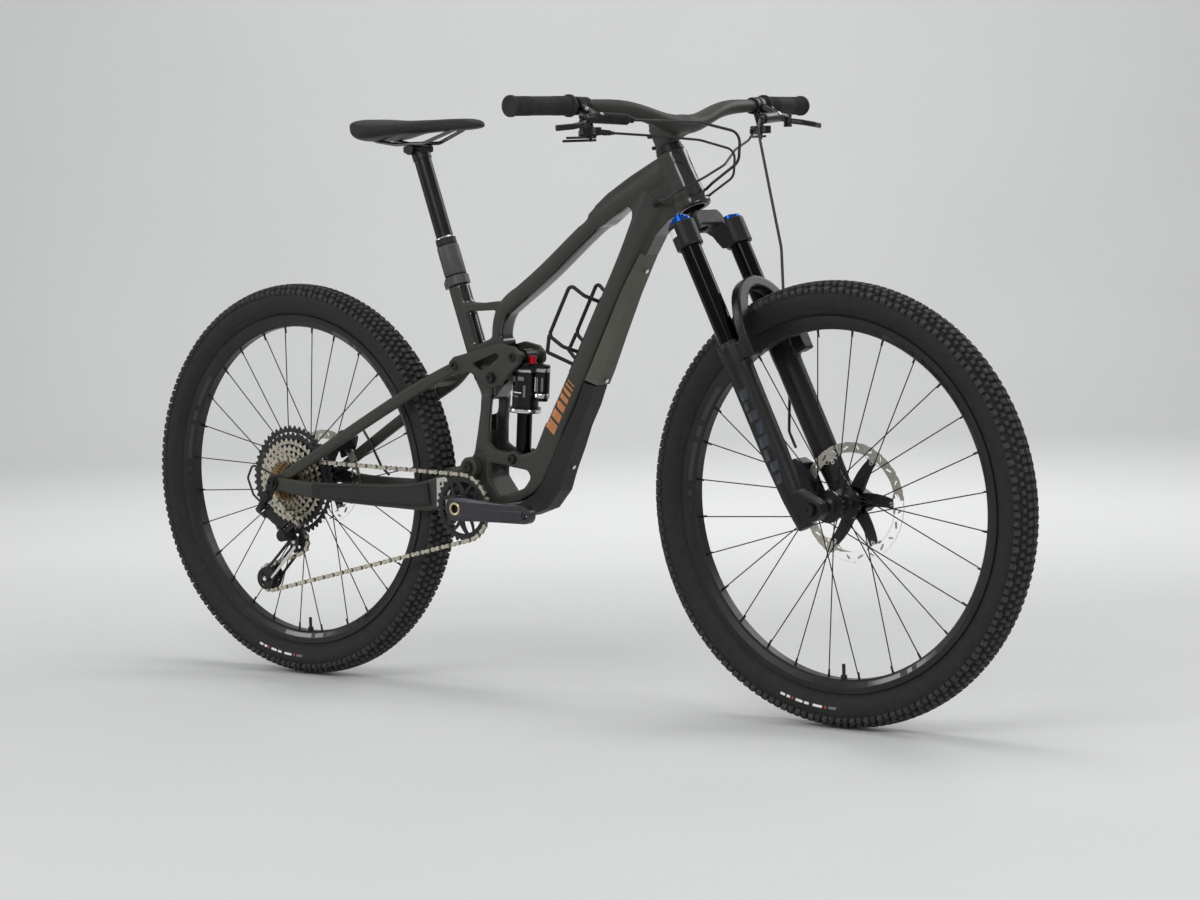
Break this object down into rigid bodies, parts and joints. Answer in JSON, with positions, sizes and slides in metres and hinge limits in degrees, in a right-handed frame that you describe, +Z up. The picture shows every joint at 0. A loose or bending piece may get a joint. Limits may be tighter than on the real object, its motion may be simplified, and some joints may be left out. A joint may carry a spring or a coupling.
{
  "type": "mountain bike",
  "caption": "Full-suspension trail mountain bike with telescopic fork, linkage rear suspension, single-ring drivetrain, disc brakes and dropper seat post.",
  "frame": {"origin": "on the ground under the bike's centre plane, midway between the two wheel axles", "axes": "+X towards the front wheel, +Y to the rider's left, +Z up; the drivetrain is on the -Y side"},
  "size_m": [1.9902, 0.8234, 1.0687],
  "materials": {
    "frame_matte": "satin",
    "frame_guard": "satin",
    "black_plastic": "matte",
    "black_metal": "satin",
    "steel": "satin",
    "stanchion": "gloss",
    "fork_paint": "matte",
    "grip_rubber": "matte",
    "tyre": "matte",
    "rim": "satin",
    "spoke": "satin",
    "rotor": "brushed",
    "cassette": "satin",
    "chain": "satin",
    "crank": "satin",
    "blue": "satin",
    "red": "satin",
    "hose": "satin",
    "saddle": "matte",
    "rail": "satin"
  },
  "bodies": {
    "frame": {"main_frame": "frame_matte", "guard_upper": "frame_guard", "guard_lower": "frame_guard", "bottle_cage": "black_plastic", "frame_bearings": "black_metal", "seat_clamp": "black_metal", "dropper_tube": "black_metal", "frame_hardware": "black_metal"},
    "steering": {"fork_crown": "fork_paint", "fork_stanchions": "stanchion", "handlebar_stem": "frame_matte", "steering_hardware": "blue", "grips": "grip_rubber", "brake_bodies": "black_metal", "control_pods": "black_metal", "front_brake_hose": "hose", "control_lines": "hose"},
    "brake_lever_r": {"brake_lever_right": "black_metal"},
    "brake_lever_l": {"brake_lever_left": "black_metal"},
    "shift_main": {"shift_lever_main": "black_metal"},
    "shift_release": {"shift_lever_release": "black_metal"},
    "dropper_paddle": {"dropper_lever": "black_metal"},
    "dial": {"compression_dial": "blue"},
    "fork_lower": {"fork_lowers": "fork_paint", "front_axle": "black_metal", "front_caliper": "black_metal"},
    "front_wheel": {"front_tyre": "tyre", "front_rim": "rim", "front_hub": "black_metal", "front_spokes": "spoke", "front_rotor": "rotor"},
    "swingarm": {"chainstay": "frame_matte", "chainstay_guard": "black_plastic", "rear_axle": "black_metal", "derailleur_mount": "black_metal", "rear_lines": "hose", "chain": "chain"},
    "mech_link": {"derailleur_link": "black_metal"},
    "mech_knuckle": {"derailleur_knuckle": "black_metal"},
    "mech_cage": {"derailleur_cage": "black_metal"},
    "jockey_upper": {"guide_pulley": "black_plastic"},
    "jockey_lower": {"tension_pulley": "black_plastic"},
    "stay": {"seatstay": "frame_matte", "rear_caliper": "black_metal"},
    "rocker": {"rocker_link": "frame_matte"},
    "shock_outer": {"shock_body": "stanchion"},
    "shock_inner": {"shock_shaft": "stanchion"},
    "knob": {"rebound_knob": "red"},
    "rear_wheel": {"rear_tyre": "tyre", "rear_rim": "rim", "rear_hub": "black_metal", "rear_spokes": "spoke", "rear_rotor": "rotor"},
    "freehub": {"cassette": "cassette"},
    "crank": {"crank_arm_right": "crank", "crank_arm_left": "crank", "chainring": "black_metal"},
    "seat": {"dropper_post": "stanchion", "saddle_rails": "rail", "saddle": "saddle"}
  },
  "joints": [
    {"name": "steering_turn", "type": "hinge", "parent": "frame", "child": "steering", "pos_m": [0.5803, 0, 0.356], "axis": [-0.4305, 0, 0.9026], "range_deg": [-60, 60], "deforming": ["control_lines"]},
    {"name": "fork_travel", "type": "slide", "parent": "steering", "child": "fork_lower", "axis": [-0.4305, 0, 0.9026], "range_m": [0, 0.15], "stiffness_N_per_m": 6000, "springref_m": -0.02, "deforming": ["front_brake_hose"]},
    {"name": "front_wheel_spin", "type": "hinge", "parent": "fork_lower", "child": "front_wheel", "pos_m": [0.62, 0, 0.3751], "axis": [0, 1, 0], "continuous": true},
    {"name": "rear_suspension", "type": "hinge", "parent": "frame", "child": "swingarm", "pos_m": [-0.16, 0, 0.416], "axis": [0, 1, 0], "range_deg": [0, 17.2], "stiffness_Nm_per_rad": 900, "springref_deg": -9.17, "deforming": ["chain"]},
    {"name": "seatstay_pivot", "type": "hinge", "parent": "swingarm", "child": "stay", "pos_m": [-0.62, 0, 0.3751], "axis": [0, 1, 0], "range_deg": [-7, 0], "deforming": ["rear_lines"]},
    {"name": "rocker_pivot", "type": "hinge", "parent": "frame", "child": "rocker", "pos_m": [-0.105, 0, 0.579], "axis": [0, 1, 0], "range_deg": [0, 47]},
    {"name": "shock_lower_pivot", "type": "hinge", "parent": "frame", "child": "shock_inner", "pos_m": [-0.068, 0, 0.433], "axis": [0, 1, 0], "range_deg": [0, 7.6]},
    {"name": "shock_stroke", "type": "slide", "parent": "shock_inner", "child": "shock_outer", "axis": [0.0915, 0, 0.9958], "range_m": [-0.048, 0]},
    {"name": "rebound_knob_turn", "type": "hinge", "parent": "shock_outer", "child": "knob", "pos_m": [-0.0286, -0.012, 0.61], "axis": [0.0915, 0, 0.9958], "range_deg": [-170, 170]},
    {"name": "rear_wheel_spin", "type": "hinge", "parent": "swingarm", "child": "rear_wheel", "pos_m": [-0.62, 0, 0.3751], "axis": [0, 1, 0], "continuous": true},
    {"name": "crank_spin", "type": "hinge", "parent": "frame", "child": "crank", "pos_m": [-0.172, 0, 0.343], "axis": [0, 1, 0], "continuous": true},
    {"name": "cassette_spin", "type": "hinge", "parent": "swingarm", "child": "freehub", "pos_m": [-0.62, 0, 0.3751], "axis": [0, 1, 0], "continuous": true},
    {"name": "derailleur_swing", "type": "hinge", "parent": "swingarm", "child": "mech_link", "pos_m": [-0.637, -0.088, 0.32], "axis": [0.311, 0.722, 0.618], "range_deg": [-25, 16]},
    {"name": "derailleur_level", "type": "hinge", "parent": "mech_link", "child": "mech_knuckle", "pos_m": [-0.604, -0.08, 0.294], "axis": [0.311, 0.722, 0.618], "range_deg": [-16, 25]},
    {"name": "cage_swing", "type": "hinge", "parent": "mech_knuckle", "child": "mech_cage", "pos_m": [-0.599, -0.066, 0.276], "axis": [0, 1, 0], "range_deg": [-30, 25], "stiffness_Nm_per_rad": 0.6},
    {"name": "guide_pulley_spin", "type": "hinge", "parent": "mech_cage", "child": "jockey_upper", "pos_m": [-0.592, -0.052, 0.262], "axis": [0, 1, 0], "continuous": true},
    {"name": "tension_pulley_spin", "type": "hinge", "parent": "mech_cage", "child": "jockey_lower", "pos_m": [-0.673, -0.052, 0.187], "axis": [0, 1, 0], "continuous": true},
    {"name": "dropper_travel", "type": "slide", "parent": "frame", "child": "seat", "axis": [-0.3173, 0, 0.9483], "range_m": [-0.15, 0]},
    {"name": "brake_lever_right_pull", "type": "hinge", "parent": "steering", "child": "brake_lever_r", "pos_m": [0.331, -0.288, 1.021], "axis": [0, 0, -1], "range_deg": [0, 18], "stiffness_Nm_per_rad": 0.8, "springref_deg": -2.86},
    {"name": "brake_lever_left_pull", "type": "hinge", "parent": "steering", "child": "brake_lever_l", "pos_m": [0.331, 0.288, 1.021], "axis": [0, 0, 1], "range_deg": [0, 18], "stiffness_Nm_per_rad": 0.8, "springref_deg": -2.86},
    {"name": "shift_main_push", "type": "hinge", "parent": "steering", "child": "shift_main", "pos_m": [0.306, -0.24, 0.992], "axis": [0, 0, 1], "range_deg": [0, 25], "stiffness_Nm_per_rad": 0.3, "springref_deg": -2.86},
    {"name": "shift_release_push", "type": "hinge", "parent": "steering", "child": "shift_release", "pos_m": [0.306, -0.24, 0.997], "axis": [0, 0, 1], "range_deg": [0, 20], "stiffness_Nm_per_rad": 0.3, "springref_deg": -2.86},
    {"name": "dropper_lever_push", "type": "hinge", "parent": "steering", "child": "dropper_paddle", "pos_m": [0.306, 0.24, 0.995], "axis": [0, 0, -1], "range_deg": [0, 25], "stiffness_Nm_per_rad": 0.3, "springref_deg": -2.86},
    {"name": "compression_dial_turn", "type": "hinge", "parent": "steering", "child": "dial", "pos_m": [0.3543, -0.07, 0.8576], "axis": [-0.4305, 0, 0.9026], "range_deg": [0, 270]}
  ],
  "couplings": [
    {"joint": "rocker_pivot", "follows": "rear_suspension", "ratio": 2.712},
    {"joint": "seatstay_pivot", "follows": "rear_suspension", "ratio": -0.4032},
    {"joint": "shock_lower_pivot", "follows": "rear_suspension", "ratio": 0.4354},
    {"joint": "shock_stroke", "follows": "rear_suspension", "m_per_rad": -0.1581},
    {"joint": "cassette_spin", "follows": "crank_spin", "ratio": 1.4286},
    {"joint": "guide_pulley_spin", "follows": "crank_spin", "ratio": -2.5},
    {"joint": "tension_pulley_spin", "follows": "crank_spin", "ratio": 2.5},
    {"joint": "derailleur_level", "follows": "derailleur_swing", "ratio": -1}
  ]
}
